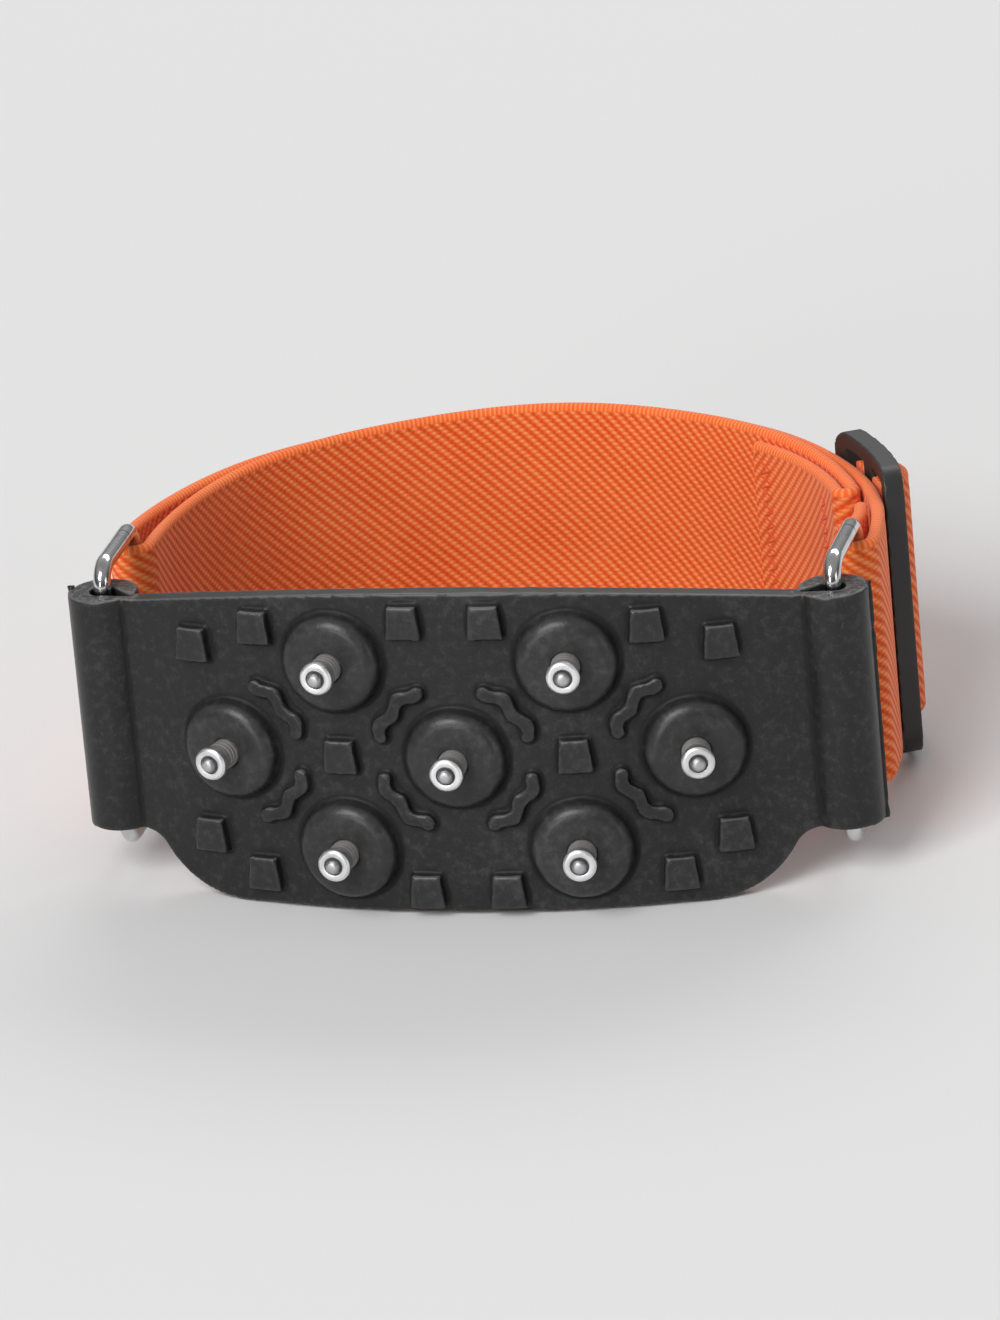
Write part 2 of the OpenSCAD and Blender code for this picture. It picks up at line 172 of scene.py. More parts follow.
def addSmooth(piece, passes):
    smooth = piece.modifiers.new("smooth", "SMOOTH")
    smooth.factor = 0.5
    smooth.iterations = passes


def applyModifiers(piece):
    bpy.context.view_layer.update()
    bm = bmesh.new()
    bm.from_object(piece, bpy.context.evaluated_depsgraph_get())
    piece.modifiers.clear()
    bm.to_mesh(piece.data)
    bm.free()
    piece.data.polygons.foreach_set("use_smooth", [True] * len(piece.data.polygons))


def mouldedCopy(name, node, finish, material):
    # a CAD solid with its corners eased, as they leave a mould
    bm = bmesh.new()
    bm.from_mesh(nodes[node].data)
    bmesh.ops.remove_doubles(bm, verts=bm.verts, dist=weld)
    piece = newPiece(name, bm, material)
    remesh = piece.modifiers.new("voxels", "REMESH")
    remesh.mode = "VOXEL"
    remesh.voxel_size = finish["voxel"]
    addSmooth(piece, finish["passes"])
    applyModifiers(piece)
    # how far a strong smoothing lifts each point tells the hollows from the edges,
    # and its normal tells the ledges
    addSmooth(piece, finish["hollowPasses"])
    bpy.context.view_layer.update()
    levelled = piece.evaluated_get(bpy.context.evaluated_depsgraph_get()).data
    lifts = [(after.co - before.co).dot(before.normal) / mm
             for before, after in zip(piece.data.vertices, levelled.vertices)]
    ledges = [point.normal.dot(toe) for point in piece.data.vertices]
    piece.modifiers.clear()
    piece.data.attributes.new("hollow", "FLOAT", "POINT").data.foreach_set("value", lifts)
    piece.data.attributes.new("ledge", "FLOAT", "POINT").data.foreach_set("value", ledges)
    piece.modifiers.new("thinned", "DECIMATE").ratio = finish["kept"]
    applyModifiers(piece)
    print(name, len(piece.data.polygons), "faces, hollows",
          round(min(lifts), 3), "to", round(max(lifts), 3), "mm")
    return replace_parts(piece, node)


# Rubber pad
pad = {
    "thickness": 3 * mm,
    "bowR": 135 * mm,
    "voxel": 0.28 * mm,
    "passes": 3,
    "hollowPasses": 60,
    "kept": 0.36,
    "charcoal": (0.0122, 0.0125, 0.0122, 1),
    "dusty": (0.0425, 0.0428, 0.042, 1),
    # pale grey, for wear and for a painted highlight
    "pale": (0.11, 0.11, 0.109, 1),
    # near black, for painted shade in the creases
    "creaseShade": (0.003, 0.003, 0.003, 1),
    "clouds": 60,
    "specks": 800,
    "grain": 2400,
    "grainDepth": 0.05 * mm,
    "cut": 1100,
    "cutFrom": 48 * mm,
    "cutBlur": 1 * mm,
    "treadLow": 1.2 * mm,
    "treadHigh": 2.2 * mm,
}
bowMiddle = Vector(mounts["sole_seat"]["pos_m"]) + (pad["bowR"] - pad["thickness"]) * behind
flash = {
    "sleeveR": 5.2 * mm,
    "sleeveLength": 36 * mm,
    "turn": 12,
    "reach": 0.4 * mm,
    "thickness": 0.8 * mm,
    "taper": 0.4,
    "overhang": 0.3 * mm,
    "cuts": 60,
    "rough": 0.22 * mm,
    "lump": 1.6 * mm,
}


def padRubber():
    material, paint, shader = newMaterial("padRubber", {"Specular IOR Level": 0.32})
    place = paint.node("TexCoord", output="Object")
    clouds = paint.noise(place, pad["clouds"], 4)
    specks = paint.noise(place, pad["specks"], 4)
    grain = paint.noise(place, pad["grain"], 3)
    hollow = paint.attribute("hollow")
    facing = paint.attribute("ledge")
    ledge = facing.rise(0.3, 0.9)
    side = paint.measure(place, across)
    # the sleeves' ends are cut and torn
    ends = abs(side).rise(pad["cutFrom"], pad["cutFrom"] + pad["cutBlur"])
    torn = ends * facing.rise(0.55, 0.85) * paint.noise(place, pad["cut"], 4).rise(0.42, 0.62)
    # the bosses and lugs, over the bowed face, are scuffed by treading
    depth = paint.measure(place, behind) - bowMiddle.dot(behind)
    raised = paint.math("SQRT", side * side + depth * depth) - pad["bowR"]
    scuffed = raised.rise(pad["treadLow"], pad["treadHigh"]) * (0.4 + specks) * (1 - ends)
    # painted shade: hollows and creases are darkened towards near black, less on walls facing the toe
    creaseShade = hollow.rise(0.02, 0.15) * (1 - 0.8 * ledge)
    edge = (0 - hollow).rise(0.08, 0.25)
    dust = clouds.rise(0.42, 0.75) * 0.4 + specks.rise(0.42, 0.72) * 0.45 + grain.rise(0.5, 0.75) * 0.35
    rubber = paint.mix(dust.rise(0, 1.2), pad["charcoal"], pad["dusty"])
    # paler grey: wear on convex edges, torn sleeve ends and scuffed treads, plus a painted highlight on edges and
    # faces turned towards the toe
    wearAndHighlight = edge * (0.12 + 0.7 * ledge) + ledge * 0.06 + torn * 0.7 + scuffed * 0.15
    pale = paint.mix(wearAndHighlight, rubber, pad["pale"])
    feed(paint, shader, {
        "Base Color": paint.mix(creaseShade * 0.85, pale, pad["creaseShade"]),
        "Roughness": 0.2 + specks * 0.16 + grain * 0.1 + creaseShade * 0.4,
        "Normal": paint.bump(grain + torn * 6, pad["grainDepth"], 0.5),
    })
    return material


def mouldFlash(name, sleeve, turn):
    # thin uneven fin of rubber along the outer side of a sleeve, where the mould closed
    length = flash["sleeveLength"] + 2 * flash["overhang"]
    bm = bmesh.new()
    size = (2 * flash["reach"], flash["thickness"], length, 1)
    bmesh.ops.create_cube(bm, size=1, matrix=Matrix.Diagonal(size))
    longEdges = [edge for edge in bm.edges if abs(edge.verts[0].co.z - edge.verts[1].co.z) > length / 2]
    bmesh.ops.subdivide_edges(bm, edges=longEdges, cuts=flash["cuts"], use_grid_fill=True)
    for vert in bm.verts:
        if vert.co.x > 0:
            spot = Vector((0, 0, vert.co.z + turn * mm)) / flash["lump"]
            vert.co.x += flash["rough"] * noise.noise(spot)
            vert.co.y *= flash["taper"]
    place = Matrix.Translation(joints[sleeve]["pos_m"]) @ upright
    place = place @ Matrix.Rotation(math.radians(turn), 4, "Z")
    bmesh.ops.transform(bm, matrix=place @ Matrix.Translation((flash["sleeveR"], 0, 0)), verts=bm.verts)
    bmesh.ops.recalc_face_normals(bm, faces=bm.faces)
    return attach(newPiece(name, bm, rubber), "pad")


rubber = padRubber()
rubberPad = mouldedCopy("rubber_pad", "cleat_pad", pad, rubber)
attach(rubberPad, "pad")
mouldFlash("right_mould_flash", "right_ring_swing", flash["turn"])
mouldFlash("left_mould_flash", "left_ring_swing", 180 - flash["turn"])


# Turned studs with carbide tips, by radius and height over the studded face
stud = {
    "count": 7,
    "flangeR": 4.5 * mm,
    "flangeLow": -2.2 * mm,
    "flangeHigh": -1.2 * mm,
    "shaftR": 2.15 * mm,
    "bossH": 2.75 * mm,
    "collarLow": 6.25 * mm,
    "collarR": 2.45 * mm,
    "top": 7.65 * mm,
    "chamfer": 0.3 * mm,
    "ringCount": 3,
    "ringPitch": 0.8 * mm,
    "ringDepth": 0.1 * mm,
    "recessR": 1.4 * mm,
    "recessDepth": 0.4 * mm,
    "recessBlur": 0.05 * mm,
    "recessFrom": 1 * mm,
    "baseDirt": 0.5 * mm,
    "steps": 56,
    "sharp": 25,
    "edge": 0.05 * mm,
    "marks": 14000,
    "markDepth": 0.03 * mm,
    "patches": 420,
    "zinc": (0.88, 0.88, 0.89, 1),
    "zincDull": (0.72, 0.72, 0.73, 1),
    "tarnish": (0.23, 0.205, 0.193, 1),
    # near black, for the dirt at the shaft's foot and the painted shade in the recess
    "grimeAndShade": (0.05, 0.05, 0.05, 1),
}
tip = {
    "radius": 1.05 * mm,
    "low": 3.35 * mm,
    "top": 8.55 * mm,
    "chamfer": 0.3 * mm,
    "crown": 0.1 * mm,
    "edge": 0.04 * mm,
    "grind": 9000,
    "grindDepth": 0.04 * mm,
    "carbide": (0.55, 0.55, 0.555, 1),
    "carbideDark": (0.3, 0.3, 0.3, 1),
}


def turnedSteel():
    material, paint, shader = newMaterial("turnedSteel", {})
    place = paint.node("TexCoord", output="Object")
    radius, height = paint.attribute("radius"), paint.attribute("height")
    lathe = paint.node("CombineXYZ", None, {0: radius, 1: height})
    marks = paint.noise(lathe, stud["marks"], 3)
    patches = paint.noise(place, stud["patches"], 3)
    blur = stud["recessBlur"]
    recess = 1 - radius.rise(stud["recessR"] - blur, stud["recessR"] + blur)
    recess = recess * height.rise(0, stud["recessFrom"])
    base = 1 - height.rise(stud["bossH"], stud["bossH"] + stud["baseDirt"])
    shaft = 1 - height.rise(stud["collarLow"], stud["collarLow"] + stud["chamfer"])
    # painted shade darkens the recess round the tip; patchy dirt darkens the foot of the shaft
    dirtAndShade = recess * 0.75 + base * 0.6 * patches
    plated = paint.mix(patches.rise(0.35, 0.75), stud["zinc"], stud["zincDull"])
    steel = paint.mix(shaft * (0.5 + 0.5 * marks), plated, stud["tarnish"])
    feed(paint, shader, {
        "Base Color": paint.mix(dirtAndShade, steel, stud["grimeAndShade"]),
        "Metallic": 1 - 0.5 * shaft,
        "Roughness": 0.3 + marks * 0.2 + dirtAndShade * 0.3,
        "Normal": paint.bump(marks, stud["markDepth"], 0.6),
    })
    return material


def groundCarbide():
    material, paint, shader = newMaterial("groundCarbide", {"Metallic": 1.0})
    place = paint.node("TexCoord", output="Object")
    grind = paint.noise(place, tip["grind"], 3)
    rim = paint.attribute("radius").rise(tip["radius"] * 0.55, tip["radius"])
    feed(paint, shader, {
        "Base Color": paint.mix(rim * 0.7 + grind * 0.3, tip["carbide"], tip["carbideDark"]),
        "Roughness": 0.34 + grind * 0.22,
        "Normal": paint.bump(grind, tip["grindDepth"], 0.8),
    })
    return material


def studProfile():
    shaft, low = stud["shaftR"], stud["bossH"]
    profile = [(0, stud["flangeLow"]), (stud["flangeR"], stud["flangeLow"])]
    profile += [(stud["flangeR"], stud["flangeHigh"]), (shaft, stud["flangeHigh"])]
    for ring in range(stud["ringCount"]):
        for part, depth in ((0.5, 0), (0.75, stud["ringDepth"]), (1, 0)):
            profile.append((shaft - depth, low + stud["ringPitch"] * (ring + part)))
    profile += [(shaft, stud["collarLow"]), (stud["collarR"], stud["collarLow"] + stud["chamfer"])]
    profile += [(stud["collarR"], stud["top"] - stud["chamfer"])]
    profile += [(stud["collarR"] - stud["chamfer"], stud["top"]), (stud["recessR"], stud["top"])]
    bottom = stud["top"] - stud["recessDepth"]
    profile += [(stud["recessR"], bottom), (tip["radius"], bottom)]
    return profile + [(tip["radius"], tip["low"]), (0, tip["low"])]


def tipProfile():
    radius, top = tip["radius"], tip["top"]
    return [(0, tip["low"]), (radius, tip["low"]), (radius, top - tip["chamfer"] - tip["crown"]),
            (radius - tip["chamfer"], top - tip["crown"]), (radius * 0.4, top), (0, top)]


def turnedPiece(name, profile, place, edge, material):
    bm = bmesh.new()
    verts = [bm.verts.new((radius, 0, height)) for radius, height in profile]
    edges = [bm.edges.new(pair) for pair in zip(verts, verts[1:])]
    bmesh.ops.spin(bm, geom=verts + edges, axis=(0, 0, 1), cent=(0, 0, 0), angle=math.tau,
                   steps=stud["steps"], use_merge=True)
    bmesh.ops.remove_doubles(bm, verts=bm.verts, dist=weld)
    bmesh.ops.recalc_face_normals(bm, faces=bm.faces)
    corners = [item for item in bm.edges
               if item.is_manifold and item.calc_face_angle() > math.radians(stud["sharp"])]
    bmesh.ops.bevel(bm, geom=corners, offset=edge, offset_type="OFFSET", segments=2, profile=0.5,
                    affect="EDGES", material=-1)
    radiusLayer = bm.verts.layers.float.new("radius")
    heightLayer = bm.verts.layers.float.new("height")
    for vert in bm.verts:
        vert[radiusLayer] = vert.co.xy.length
        vert[heightLayer] = vert.co.z
    bmesh.ops.transform(bm, matrix=place, verts=bm.verts)
    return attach(newPiece(name, bm, material), "pad")


def studPlace(number):
    # on the bowed face in front of the tip's middle, with z out of the face
    low, high = (Vector(corner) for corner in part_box(f"carbide_tip_{number}"))
    spot = padPlace.inverted() @ ((low + high) / 2)
    turn = math.atan2(spot.x, pad["bowR"] - spot.y)
    return (padPlace @ Matrix.Translation((0, pad["bowR"], spot.z)) @ Matrix.Rotation(turn, 4, "Z")
            @ Matrix.Translation((0, -pad["bowR"], 0)) @ Matrix.Rotation(math.pi / 2, 4, "X"))


padPlace = Matrix.Translation(Vector(mounts["sole_seat"]["pos_m"]) - pad["thickness"] * behind) @ upright
steel, carbide = turnedSteel(), groundCarbide()
for number in range(1, stud["count"] + 1):
    place = studPlace(number)
    shaft = turnedPiece(f"turned_stud_{number}", studProfile(), place, stud["edge"], steel)
    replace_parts(shaft, f"stud_{number}")
    point = turnedPiece(f"ground_tip_{number}", tipProfile(), place, tip["edge"], carbide)
    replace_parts(point, f"carbide_tip_{number}")
print("studs turned")


# Wire rings keep their CAD shape
ring = {
    "chrome": (0.68, 0.68, 0.69, 1),
    "chromeDull": (0.52, 0.52, 0.53, 1),
    "joint": (0.08, 0.08, 0.08, 1),
    "jointInset": 5 * mm,
    "jointHalf": 0.07 * mm,
    "sideRise": 15 * mm,
    "patches": 260,
    "marks": 3500,
    "markDepth": 0.008 * mm,
}


def chromeWire():
    material, paint, shader = newMaterial("chromeWire", {"Metallic": 1.0})
    place = paint.node("TexCoord", output="Object")
    bar = Vector(joints["strap_swing"]["pos_m"])
    depth = paint.measure(place, behind) - (bar.dot(behind) - ring["jointInset"])
    raised = paint.measure(place, toe) - bar.dot(toe)
    line = 1 - abs(depth).rise(ring["jointHalf"], ring["jointHalf"] * 2)
    seam = line * raised.rise(0, ring["sideRise"])
    patches = paint.noise(place, ring["patches"], 3)
    marks = paint.noise(place, ring["marks"], 2)
    bright = paint.mix(patches.rise(0.4, 0.75), ring["chrome"], ring["chromeDull"])
    feed(paint, shader, {
        "Base Color": paint.mix(seam, bright, ring["joint"]),
        "Roughness": 0.09 + patches * 0.08 + marks * 0.04,
        "Normal": paint.bump(marks, ring["markDepth"], 0.4),
    })
    return material


chrome = chromeWire()
for side in ("left", "right"):
    for place in nodes[f"{side}_ring"].material_slots:
        place.link = "OBJECT"
        place.material = chrome
print("rings plated")


# Webbing
webbing = {
    "width": 38 * mm,
    "thickness": 2 * mm,
    "edgeR": 1 * mm,
    "grooveAt": 1.7 * mm,
    "grooveDepth": 0.07 * mm,
    "step": 0.8 * mm,
    "sway": 0.12 * mm,
    "swayLength": 43 * mm,
    # the gap colour is painted shade and the crown colour a painted highlight of the orange
    "gap": (0.68, 0.066, 0.009, 1),
    "orange": (0.88, 0.145, 0.026, 1),
    "crown": (0.95, 0.32, 0.11, 1),
    "rib": 1.27 * mm,
    "yarn": 0.6 * mm,
    "ribAngle": math.radians(44),
    "selvedge": 1.05 * mm,
    "selvedgeBlur": 0.15 * mm,
    "selvedgeRib": 0.7 * mm,
    "ribDepth": 0.2 * mm,
    "fuzz": 4500,
    "shade": 90,
}


def orangeWebbing():
    material, paint, shader = newMaterial(
        "orangeWebbing", {"Specular IOR Level": 0.2, "Sheen Weight": 0.15, "Sheen Roughness": 0.5})
    along, width = paint.attribute("along"), paint.attribute("width")
    place = paint.node("TexCoord", output="Object")
    yarns = width / webbing["yarn"]
    middle = (yarns.floor() + 0.5) * webbing["yarn"]  # each yarn floats a step further on than the last
    turn = webbing["ribAngle"]
    floats = (along * math.cos(turn) - (middle * 0.65 + width * 0.35) * math.sin(turn)) / webbing["rib"]
    fuzz = paint.noise(place, webbing["fuzz"], 3)
    shade = paint.noise(place, webbing["shade"], 3)
    twill = floats.wave() * (0.7 + 0.3 * yarns.wave())
    inner = webbing["width"] / 2 - webbing["selvedge"]
    selvedge = abs(width).rise(inner - webbing["selvedgeBlur"], inner + webbing["selvedgeBlur"])
    edgeRibs = (along / webbing["selvedgeRib"]).wave()
    height = twill * (1 - selvedge) + (0.25 + 0.55 * edgeRibs) * selvedge + fuzz * 0.3
    # painted light: by the weave's relief, gaps are shaded darker and yarn crowns get a painted highlight
    tint = height + shade * 0.3 - 0.2
    lower = paint.mix(tint.rise(0, 0.45), webbing["gap"], webbing["orange"])
    feed(paint, shader, {
        "Base Color": paint.mix(tint.rise(0.5, 1.1), lower, webbing["crown"]),
        "Roughness": 0.95 - tint * 0.2,
        "Normal": paint.bump(height, webbing["ribDepth"], 0.7),
    })
    return material


def bandSection():
    # outline across the band, round both rolled edges, as (across, out)
    half, thick, edge = webbing["width"] / 2, webbing["thickness"] / 2, webbing["edgeR"]
    side = [(half * share, thick) for share in (0, 0.3, 0.6, 0.85)]
    side += [(half - webbing["grooveAt"], thick - webbing["grooveDepth"])]
    side += [(half - edge + edge * math.cos(angle), edge * math.sin(angle))
             for angle in (math.radians(part) for part in (105, 80, 55, 28))]
    top = [(-z, out) for z, out in reversed(side[1:])] + side
    return [(half, 0)] + [(z, -out) for z, out in reversed(top)] + [(-half, 0)] + top


def routeLength(points):
    return sum((after - before).length for before, after in zip(points, points[1:]))


def stationsAlong(points, start=0, shift=0):
    # frames along a route, each with its run as x, its outer side as y and the band's width as z
    length = routeLength(points)
    found, run = [], 0
    for step, point in enumerate(points):
        run += (point - points[step - 1]).length if step else 0
        ahead = (points[min(step + 1, len(points) - 1)] - points[max(step - 1, 0)]).normalized()
        side = Vector((-ahead.y, ahead.x, 0))
        turn = Matrix((ahead, side, Vector((0, 0, 1)))).transposed().to_4x4()
        drift = webbing["sway"] * math.sin(math.tau * (start + run) / webbing["swayLength"])
        drift += shift * math.sin(math.pi * run / length) ** 2
        found.append((hoopPlace @ Matrix.Translation(point + Vector((0, 0, drift))) @ turn, start + run))
    return found


def sweepBand(bm, section, stations):
    along = bm.verts.layers.float.get("along") or bm.verts.layers.float.new("along")
    width = bm.verts.layers.float.get("width") or bm.verts.layers.float.new("width")
    start = stations[0][0]
    verts = [bm.verts.new(start @ Vector((0, out, z))) for z, out in section]
    edges = [bm.edges.new((verts[step - 1], verts[step])) for step in range(len(verts))]
    first = edges
    for step, (here, run) in enumerate(stations):
        if step:
            grown = bmesh.ops.extrude_edge_only(bm, edges=edges)["geom"]
            verts = [item for item in grown if isinstance(item, bmesh.types.BMVert)]
            edges = [item for item in grown if isinstance(item, bmesh.types.BMEdge)]
            bmesh.ops.transform(bm, matrix=here @ stations[step - 1][0].inverted(), verts=verts)
        back = here.inverted()
        for vert in verts:
            vert[along] = run
            vert[width] = (back @ vert.co).z
    for end in (first, edges):
        bmesh.ops.contextual_create(bm, geom=end)
        for edge in end:
            edge.smooth = False
    bmesh.ops.recalc_face_normals(bm, faces=bm.faces)


# Strap's route round the hoop's axis, as in the CAD solid
strap = {
    "barX": -joints["strap_swing"]["pos_m"][0],
    "wireR": 1.3 * mm,
    "barGap": 0.2 * mm,
    "layerGap": 0.4 * mm,
    "closing": 40,
    "sewnLength": 27 * mm,
    "tailGap": 7 * mm,
    "innerShift": 1.6 * mm,
    "turnStep": 12,
    "foldStep": 15,
}
slider = {
    "voxel": 0.24 * mm,
    "passes": 3,
    "hollowPasses": 20,
    "kept": 0.5,
    "angle": 28,
    "gap": 0.3 * mm,
    "barW": 4 * mm,
    "barT": 1.8 * mm,
    "slotW": 6.5 * mm,
    "turnGap": 0.15 * mm,
    "turnStep": 9,
    "texture": 3200,
    "textureDepth": 0.03 * mm,
    "patches": 180,
    "black": (0.0165, 0.0168, 0.0172, 1),
    "grey": (0.03, 0.03, 0.031, 1),
}
strap["turnR"] = strap["wireR"] + strap["barGap"] + webbing["thickness"] / 2
strap["outerR"] = strap["barX"] + strap["turnR"]
strap["innerR"] = strap["outerR"] - webbing["thickness"] - strap["layerGap"]
strap["sewnR"] = strap["innerR"] - webbing["thickness"] - strap["layerGap"]
strap["barSideR"] = strap["barX"] - strap["turnR"]
strap["foldTurn"] = math.degrees((slider["barW"] + slider["slotW"]) / 2 / strap["innerR"])
strap["foldAngle"] = slider["angle"] - strap["foldTurn"]
strap["sewnEnd"] = strap["foldAngle"] + math.degrees(strap["sewnLength"] / strap["sewnR"])
strap["tailEnd"] = strap["foldAngle"] - math.degrees(strap["tailGap"] / strap["innerR"])


def polar(radius, angle):
    return Vector((radius * math.cos(math.radians(angle)), radius * math.sin(math.radians(angle)), 0))


def ease(share):
    share = min(max(share, 0), 1)
    return share * share * (3 - 2 * share)


def spread(start, end, radius):
    # angles from start to end, about one step of webbing apart
    count = max(2, round(abs(math.radians(end - start)) * radius / webbing["step"]))
    return [start + (end - start) * step / count for step in range(count + 1)]


def barTurn(x):
    return [Vector((x, 0, 0)) + strap["turnR"] * Vector((math.cos(turn), -math.sin(turn), 0))
            for turn in (math.radians(part) for part in range(strap["turnStep"], 180, strap["turnStep"]))]


def outerRoute():
    step = strap["innerR"] - strap["barSideR"]
    route = [polar(strap["barSideR"], 180)] + barTurn(-strap["barX"])
    route += [polar(strap["outerR"], angle) for angle in spread(180, 0, strap["outerR"])]
    route += barTurn(strap["barX"])
    route += [polar(strap["barSideR"] + step * ease(angle / strap["tailEnd"]), angle)
              for angle in spread(0, strap["tailEnd"], strap["innerR"])]
    return route


def innerRoute():
    step = strap["barSideR"] - strap["innerR"]
    foldR = (strap["innerR"] - strap["sewnR"]) / 2
    middle = polar(strap["sewnR"] + foldR, strap["foldAngle"])
    out, ahead = polar(1, strap["foldAngle"]), polar(1, strap["foldAngle"] + 90)
    route = [polar(strap["sewnR"], angle)
             for angle in spread(strap["sewnEnd"], strap["foldAngle"], strap["sewnR"])]
    route += [middle - foldR * (math.cos(turn) * out + math.sin(turn) * ahead)
              for turn in (math.radians(part) for part in range(strap["foldStep"], 180, strap["foldStep"]))]
    route += [polar(strap["innerR"] + step * ease(1 + (angle - 180) / strap["closing"]), angle)
              for angle in spread(strap["foldAngle"], 180, strap["innerR"])]
    return route


def band(name, routes, start=0, shift=0):
    bm = bmesh.new()
    for route in routes:
        sweepBand(bm, bandSection(), stationsAlong(route, start, shift))
    length = sum(routeLength(route) for route in routes)
    print(name, round(length / mm), "mm of webbing")
    piece = newPiece(name, bm, webbingLook)
    return piece


webbingLook = orangeWebbing()
innerBand = band("strap_inner_layer", [innerRoute()], shift=strap["innerShift"])
hoopPlace @ polar(strap["innerR"], 180)
hoopPlace @ polar(strap["sewnR"], strap["sewnEnd"] + 3)
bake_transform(innerBand)
outerBand = band("strap_outer_layer", [outerRoute()], start=routeLength(innerRoute()))
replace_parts(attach(outerBand, "strap"), "strap")


# Rows of zigzag sewing on the inner face
thread = {
    "length": 2.7 * mm,
    "thickness": 0.36 * mm,
    "pitch": 1.1 * mm,
    "row": 33 * mm,
    "endInset": 3,
    "foldInset": 6,
    "tailInset": 2.5,
    "twist": 5200,
    "twistDepth": 0.05 * mm,
    "bright": (0.86, 0.13, 0.022, 1),
    "dark": (0.6, 0.055, 0.008, 1),
}


def orangeThread():
    material, paint, shader = newMaterial(
        "orangeThread", {"Specular IOR Level": 0.4, "Sheen Weight": 0.1})
    place = paint.node("TexCoord", output="Object")
    twist = paint.noise(place, thread["twist"], 2)
    feed(paint, shader, {
        "Base Color": paint.mix(twist.rise(0.35, 0.7), thread["dark"], thread["bright"]),
        "Roughness": 0.5 + twist * 0.2,
        "Normal": paint.bump(twist, thread["twistDepth"], 0.6),
    })
    return material


def stitchRow(name, radius, angle, body):
    bm = bmesh.new()
    count = round(thread["row"] / thread["pitch"])
    spot = hoopPlace @ Matrix.Rotation(math.radians(angle), 4, "Z") @ Matrix.Translation((radius, 0, 0))
    size = Matrix.Diagonal((thread["thickness"], thread["length"], thread["thickness"], 1))
    tilt = math.asin(thread["pitch"] / thread["length"])
    for number in range(count):
        rise = Matrix.Translation((0, 0, (number - (count - 1) / 2) * thread["pitch"]))
        slant = Matrix.Rotation(tilt if number % 2 else -tilt, 4, "X")
        bmesh.ops.create_uvsphere(bm, u_segments=8, v_segments=6, radius=0.5,
                                  matrix=spot @ rise @ slant @ size)
    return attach(newPiece(name, bm, threadLook), body)


threadLook = orangeThread()
sewnFace = strap["sewnR"] - webbing["thickness"] / 2
ringEndFace = strap["innerR"] - webbing["thickness"] / 2
stitchRow("sewn_end_stitches", sewnFace, strap["sewnEnd"] - thread["endInset"], "slider")
stitchRow("sewn_fold_stitches", sewnFace, strap["foldAngle"] + thread["foldInset"], "slider")
stitchRow("ring_end_stitches", ringEndFace, strap["tailEnd"] - thread["tailInset"], "strap")
print("strap sewn")


# Slider with the webbing over its middle bar
def sliderPlastic():
    material, paint, shader = newMaterial("sliderPlastic", {"Specular IOR Level": 0.5})
    place = paint.node("TexCoord", output="Object")
    texture = paint.noise(place, slider["texture"], 2)
    patches = paint.noise(place, slider["patches"], 3)
    # the convex edges are paler grey
    pale = (0 - paint.attribute("hollow")).rise(0.02, 0.15)
    feed(paint, shader, {
        "Base Color": paint.mix(pale * 0.7 + patches * 0.3, slider["black"], slider["grey"]),
        "Roughness": 0.36 + texture * 0.12 + patches * 0.08,
        "Normal": paint.bump(texture, slider["textureDepth"], 0.4),
    })
    return material


def turnRoute(layer):
    # half an ellipse over the middle bar, one layer of webbing on the other
    wide = slider["barW"] / 2 + slider["turnGap"] + webbing["thickness"] * (layer + 0.5)
    tall = slider["barT"] + slider["turnGap"] + webbing["thickness"] * (layer + 0.5)
    faceR = strap["outerR"] + webbing["thickness"] / 2 + slider["gap"]
    place = Matrix.Rotation(math.radians(slider["angle"]), 4, "Z")
    return [place @ Vector((faceR + tall * math.sin(turn), wide * math.cos(turn), 0))
            for turn in (math.radians(part) for part in range(0, 181, slider["turnStep"]))]


sliderFrame = mouldedCopy("slider_frame", "slider", slider, sliderPlastic())
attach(sliderFrame, "slider")
sliderTurn = band("slider_webbing", [turnRoute(0), turnRoute(1)])
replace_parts(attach(sliderTurn, "slider"), "slider_turn")


# Floor, light and camera
studio = {
    "floorSize": 6,
    "floorDrop": 0.1 * mm,
    "floorColour": (0.71, 0.71, 0.71, 1),
    "horizon": 0.08,
    "zenith": 0.35,
    "glow": 0.16,
    "lamps": {
        # direction from the cleat, distance, width, height, and share of a plain level of light
        "keyLight": ((-0.26, -0.67, 0.68), 5, 2.5, 2.75, 0.8),
        "leftLight": ((-0.25, -0.94, 0.2), 4, 1.4, 1.1, 0.2),
        "rightLight": ((0.9, -0.42, 0.2), 2, 0.7, 0.7, 0.07),
        "backLight": ((0.1, 0.76, 0.64), 2, 2, 0.8, 0.36),
    },
}
view = {
    "azimuth": 14.6,
    "elevation": 20.2 + lean,
    "roll": 6.5,
    "distance": 1.5,
    "frameWidth": 148 * mm,
    "aim": (-1.4 * mm, -5 * mm, 23 * mm),
    "sensor": 36,
}


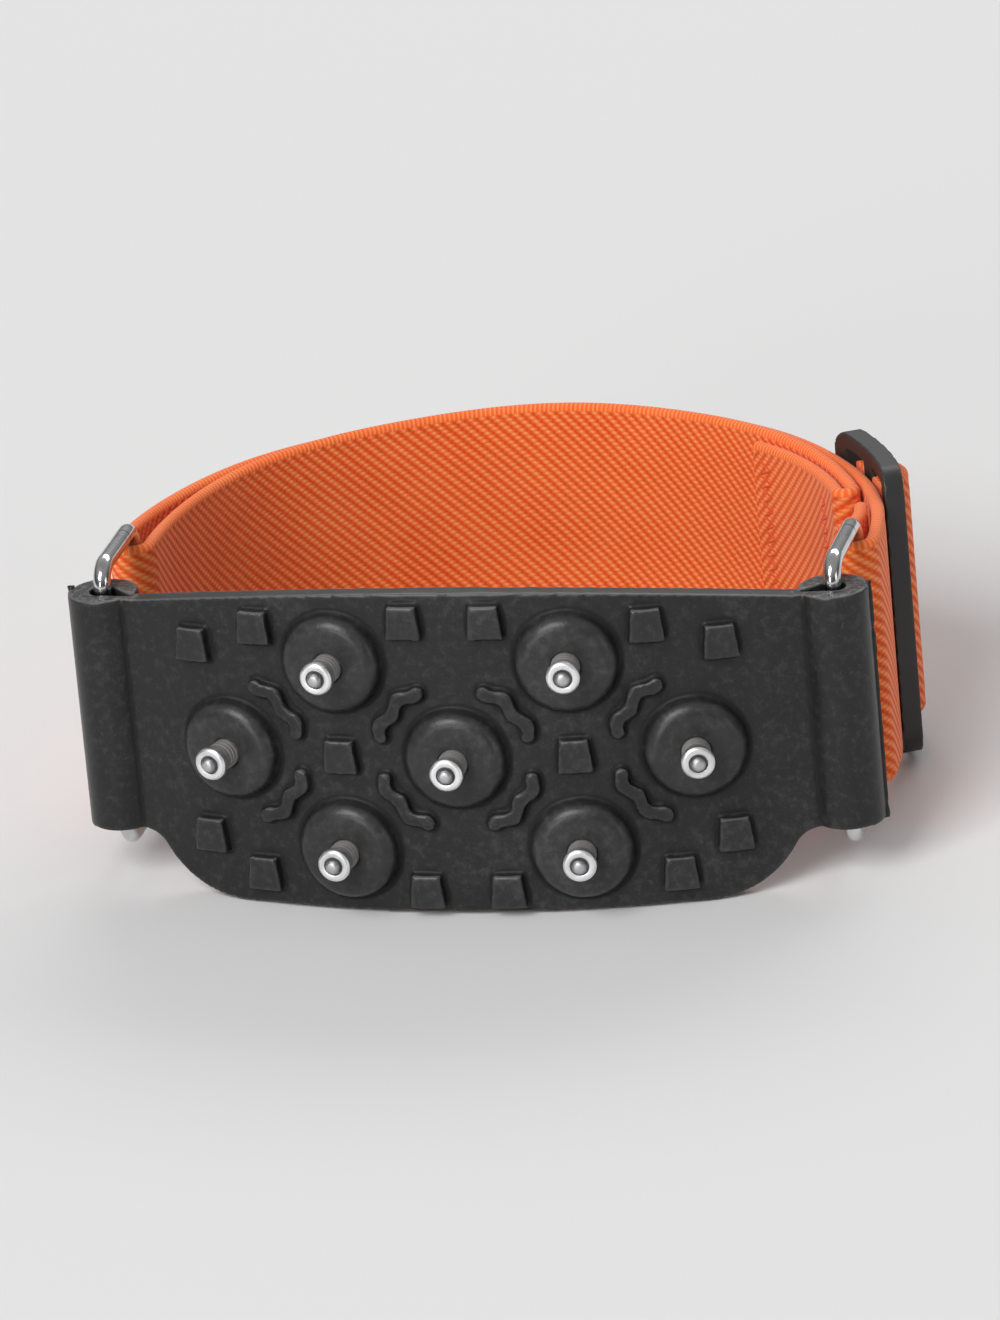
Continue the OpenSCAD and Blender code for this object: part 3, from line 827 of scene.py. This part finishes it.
def makeFloor():
    bm = bmesh.new()
    bmesh.ops.create_grid(bm, x_segments=1, y_segments=1, size=studio["floorSize"] / 2)
    bmesh.ops.translate(bm, verts=bm.verts, vec=(0, 0, -studio["floorDrop"]))
    material = newMaterial(
        "floorPaper", {"Base Color": studio["floorColour"], "Roughness": 0.9, "Specular IOR Level": 0.1})[0]
    mesh = bpy.data.meshes.new("floor")
    bm.to_mesh(mesh)
    bm.free()
    mesh.materials.append(material)
    floor = bpy.data.objects.new("floor", mesh)
    scene.collection.objects.link(floor)


def makeWorld():
    # brighter overhead and behind than in front, so that metal has something to show
    world = bpy.data.worlds.new("studio")
    world.use_nodes = True
    scene.world = world
    paint = Paint(world.node_tree)
    direction = paint.node("TexCoord", output="Generated")
    depth = paint.node("SeparateXYZ", None, {0: direction}, 1)
    height = paint.node("SeparateXYZ", None, {0: direction}, 2)
    light = studio["horizon"] + (studio["zenith"] - studio["horizon"]) * height.rise(0.1, 0.7)
    light = light + studio["glow"] * depth.rise(0.2, 0.8)
    background = world.node_tree.nodes["Background"]
    background.inputs["Color"].default_value = (1, 1, 1, 1)
    feed(paint, background, {"Strength": light})


def makeLamps():
    for name, (direction, distance, width, height, share) in studio["lamps"].items():
        lamp = bpy.data.lights.new(name, "AREA")
        lamp.shape = "RECTANGLE"
        lamp.size = width
        lamp.size_y = height
        lamp.energy = share * math.pi ** 2 * distance ** 2
        holder = bpy.data.objects.new(name, lamp)
        toward = Vector(direction).normalized()
        holder.location = toward * distance
        holder.rotation_euler = toward.to_track_quat("Z", "Y").to_euler()
        scene.collection.objects.link(holder)


def makeCamera():
    turn, rise, roll = (math.radians(view[name]) for name in ("azimuth", "elevation", "roll"))
    outward = Vector((math.sin(turn) * math.cos(rise), -math.cos(turn) * math.cos(rise), math.sin(rise)))
    right = Vector((math.cos(turn), math.sin(turn), 0))
    above = outward.cross(right)
    camera = bpy.data.cameras.new("camera")
    camera.sensor_fit = "HORIZONTAL"
    camera.sensor_width = view["sensor"]
    camera.lens = view["sensor"] * view["distance"] / view["frameWidth"]
    holder = bpy.data.objects.new("camera", camera)
    rolled = (math.cos(roll) * right - math.sin(roll) * above,
              math.sin(roll) * right + math.cos(roll) * above)
    holder.matrix_world = (Matrix.Translation(Vector(view["aim"]) + outward * view["distance"])
                           @ Matrix((*rolled, outward)).transposed().to_4x4())
    scene.collection.objects.link(holder)
    scene.camera = holder


makeFloor()
makeWorld()
makeLamps()
makeCamera()
scene.view_settings.view_transform = "Standard"
print("studio set")
